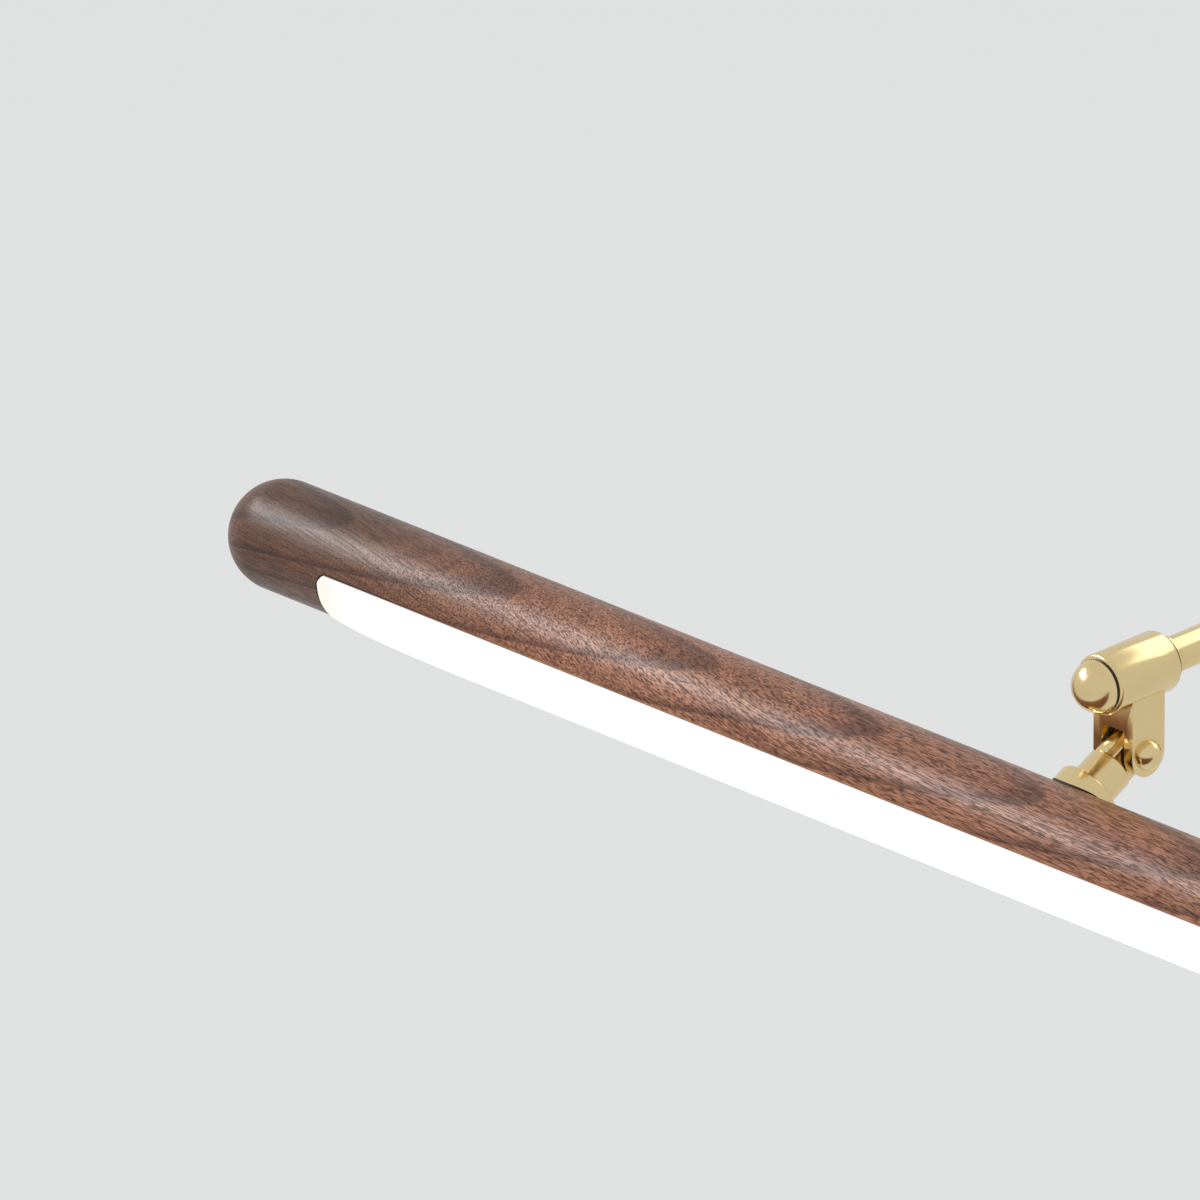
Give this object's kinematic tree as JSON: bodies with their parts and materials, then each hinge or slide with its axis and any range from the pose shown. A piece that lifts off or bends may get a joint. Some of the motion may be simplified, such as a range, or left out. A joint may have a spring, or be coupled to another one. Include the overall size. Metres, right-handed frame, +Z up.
{
  "type": "wall lamp",
  "caption": "Wall lamp with a ball-ended round walnut bar, a lit opal diffuser let into it, and a brass swing arm with roll hub, tilt knuckle and canopy with a push switch",
  "frame": {"origin": "centre of the backplate's back face, on the wall", "axes": "+X along the bar, +Y into the wall, +Z up"},
  "size_m": [0.7798, 0.3072, 0.1242],
  "materials": {
    "walnut": "satin oiled, fine dark pores",
    "opal": "satin opal, lit from behind",
    "brass": "polished",
    "black_rubber": "matte black",
    "black_plastic": "matte black",
    "white_plastic": "matte white",
    "white_board": "white solder mask",
    "phosphor": "matte yellow",
    "aluminium": "mill finish",
    "steel": "zinc plated"
  },
  "bodies": {
    "wall_base": {"backplate": "steel", "canopy": "brass", "canopy_screws": "brass", "cable_grommet": "black_rubber", "yoke_nipple": "brass", "base_locknut": "steel", "canopy_nut": "steel", "swing_yoke": "brass", "swing_pin": "brass", "swing_cap_nut": "brass", "led_driver": "white_plastic", "driver_screws": "steel", "terminal_block": "white_plastic", "terminal_screws": "steel", "earth_screw": "brass", "switch_body": "black_plastic", "switch_bezel": "brass", "switch_spring": "steel"},
    "switch_plunger": {"switch_button": "brass"},
    "arm": {"arm_eye": "brass", "swing_washers": "black_plastic", "arm_tube": "brass", "arm_spindle": "brass", "spindle_cap": "brass", "arm_lead": "black_rubber"},
    "head": {"head_hub": "brass", "roll_washers": "black_plastic", "tilt_pin": "brass", "tilt_nut": "brass", "tilt_washers": "black_plastic"},
    "light_bar": {"neck": "brass", "saddle_gasket": "black_rubber", "bar_nipple": "brass", "bar_washer": "steel", "bar_nut": "steel", "walnut_bar": "walnut", "heat_sink": "aluminium", "channel_screws": "steel", "led_board": "white_board", "led_chips": "phosphor", "diffuser": "opal", "bar_lead": "black_rubber"}
  },
  "joints": [
    {"name": "arm_swing", "type": "hinge", "parent": "wall_base", "child": "arm", "pos_m": [0, -0.054, 0], "axis": [0, 0, 1], "range_deg": [-25, 25]},
    {"name": "head_roll", "type": "hinge", "parent": "arm", "child": "head", "pos_m": [0, -0.242, 0], "axis": [0, 1, 0], "range_deg": [-90, 90]},
    {"name": "bar_tilt", "type": "hinge", "parent": "head", "child": "light_bar", "pos_m": [0, -0.242, -0.028], "axis": [1, 0, 0], "range_deg": [-27, 93]},
    {"name": "switch_press", "type": "slide", "parent": "wall_base", "child": "switch_plunger", "axis": [0, 1, 0], "range_m": [0, 0.002], "stiffness_N_per_m": 300, "springref_m": -0.005, "deforming": ["switch_spring"]}
  ]
}
